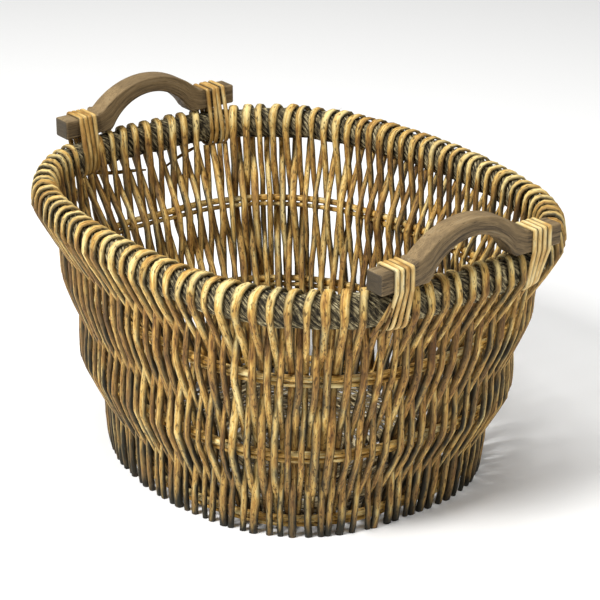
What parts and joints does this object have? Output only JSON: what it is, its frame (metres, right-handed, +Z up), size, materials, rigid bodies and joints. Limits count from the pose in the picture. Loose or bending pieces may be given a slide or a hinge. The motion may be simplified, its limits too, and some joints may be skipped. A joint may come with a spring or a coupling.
{
  "type": "wicker log basket",
  "caption": "Flared oval wicker log basket with an open wall of hairpin canes over a rope rim, paired hoops, a woven base and a wooden bow handle at each end.",
  "frame": {"origin": "centre of the footprint, on the ground", "axes": "+X along the basket's length towards the front handle, +Z up"},
  "size_m": [0.6002, 0.4942, 0.3652],
  "materials": {
    "wall_willow": "unpeeled buff willow, golden tan, dull sheen, dark specks",
    "hoop_willow": "peeled willow, pale gold, satin",
    "lashing_cane": "split pale cane, satin",
    "grass_rope": "twisted dried grass rope, matt, coarse",
    "handle_wood": "weathered grey-brown hardwood, sanded, matt",
    "woven_base": "closely woven thin willow rods, matt",
    "base_sticks": "round willow sticks, matt"
  },
  "bodies": {
    "root": {"rim_rope": "grass_rope", "base_weave": "woven_base", "base_short_sticks": "base_sticks", "base_long_sticks": "base_sticks", "front_handle": "handle_wood", "back_handle": "handle_wood", "upper_hoop_thick": "hoop_willow", "upper_hoop_thin": "hoop_willow", "middle_hoop_thick": "hoop_willow", "middle_hoop_thin": "hoop_willow", "lower_hoop_thick": "hoop_willow", "lower_hoop_thin": "hoop_willow", "front_left_lashing": "lashing_cane", "front_right_lashing": "lashing_cane", "back_right_lashing": "lashing_cane", "back_left_lashing": "lashing_cane", "wall_canes_01": "wall_willow", "wall_canes_02": "wall_willow", "wall_canes_03": "wall_willow", "wall_canes_04": "wall_willow", "wall_canes_05": "wall_willow", "wall_canes_06": "wall_willow", "wall_canes_07": "wall_willow", "wall_canes_08": "wall_willow", "wall_canes_09": "wall_willow", "wall_canes_10": "wall_willow", "wall_canes_11": "wall_willow", "wall_canes_12": "wall_willow", "wall_canes_13": "wall_willow", "wall_canes_14": "wall_willow", "wall_canes_15": "wall_willow", "wall_canes_16": "wall_willow", "wall_canes_17": "wall_willow", "wall_canes_18": "wall_willow", "wall_canes_19": "wall_willow", "wall_canes_20": "wall_willow", "wall_canes_21": "wall_willow", "wall_canes_22": "wall_willow", "wall_canes_23": "wall_willow", "wall_canes_24": "wall_willow", "wall_canes_25": "wall_willow"}
  },
  "joints": []
}
